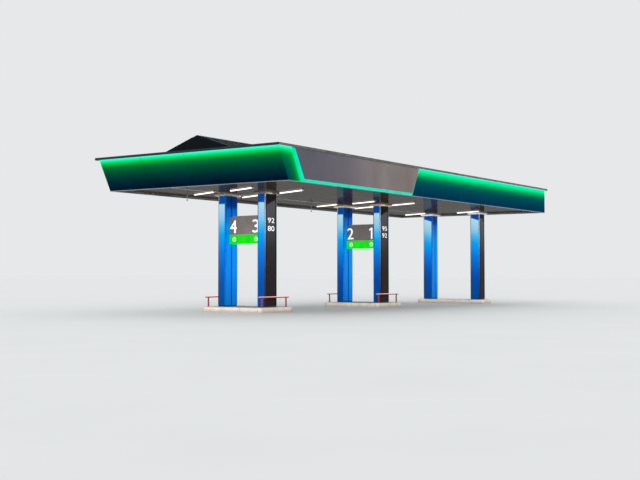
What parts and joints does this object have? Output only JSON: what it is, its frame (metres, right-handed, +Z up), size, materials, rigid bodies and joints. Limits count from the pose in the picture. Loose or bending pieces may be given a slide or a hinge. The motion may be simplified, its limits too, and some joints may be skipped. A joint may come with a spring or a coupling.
{
  "type": "filling station canopy",
  "caption": "Flat-edged forecourt roof on paired clad columns over kerbed islands, with numbered boards between columns, an edge-lit sign on the fascia and a low gable roof behind it.",
  "frame": {"origin": "ground level under the centre of the roof's outline", "axes": "+X across the drive lanes, along the roof; +Y along the lanes, away from the sign; +Z up"},
  "size_m": [22.22, 8.32, 6.2815],
  "materials": {
    "kerb_concrete": "precast concrete, weathered",
    "slab_concrete": "cast concrete, trowelled",
    "red_tube": "gloss paint on steel tube",
    "blue_cladding": "coated aluminium composite, satin",
    "corner_aluminium": "anodised",
    "dark_panel": "coated aluminium composite, satin",
    "backing_sheet": "matt black coating",
    "plinth_steel": "matt paint",
    "collar_bronze": "bronze coating, satin",
    "frame_steel": "shop primer",
    "board_grey": "opal acrylic with grey film",
    "green_acrylic": "lit green acrylic",
    "soffit_metal": "coated planks, glossy",
    "edge_aluminium": "mill finish",
    "lamp_housing": "white coating",
    "lamp_diffuser": "lit opal acrylic",
    "sensor_grey": "moulded",
    "fascia_composite": "coated aluminium composite, glossy",
    "coping_metal": "folded sheet, weathered",
    "light_strip": "lit strip",
    "sign_acrylic": "lit acrylic edge",
    "sign_grey": "coated panel, satin",
    "roof_metal": "coated steel sheet",
    "gable_metal": "coated steel sheet",
    "gutter_steel": "galvanised"
  },
  "bodies": {
    "root": {"island_kerb_a": "kerb_concrete", "island_kerb_b": "kerb_concrete", "island_kerb_c": "kerb_concrete", "island_slabs": "slab_concrete", "guard_rail_a_front": "red_tube", "guard_rail_a_back": "red_tube", "guard_rail_b_front": "red_tube", "guard_rail_b_back": "red_tube", "column_a_front": "blue_cladding", "column_a_back": "blue_cladding", "column_b_front": "blue_cladding", "column_b_back": "blue_cladding", "column_c_front": "blue_cladding", "column_c_back": "blue_cladding", "corner_trims": "corner_aluminium", "outer_panels": "dark_panel", "panel_backings": "backing_sheet", "column_plinths": "plinth_steel", "column_collars": "collar_bronze", "post_heads": "frame_steel", "number_boards": "board_grey", "board_caps": "edge_aluminium", "green_bands": "green_acrylic", "soffit": "soffit_metal", "soffit_strip": "edge_aluminium", "soffit_edge": "edge_aluminium", "soffit_lamps": "lamp_housing", "lamp_lenses": "lamp_diffuser", "soffit_sensors": "sensor_grey", "fascia_front": "fascia_composite", "fascia_back": "fascia_composite", "fascia_left": "fascia_composite", "fascia_right": "fascia_composite", "coping": "coping_metal", "light_line": "light_strip", "sign_light_box": "sign_acrylic", "sign_panel": "sign_grey", "cross_beams": "frame_steel", "edge_beams": "frame_steel", "roof_frames": "frame_steel", "roof_sheet_front": "roof_metal", "roof_sheet_back": "roof_metal", "ridge_cap": "roof_metal", "gable_ends": "gable_metal", "gutters": "gutter_steel"}
  },
  "joints": []
}
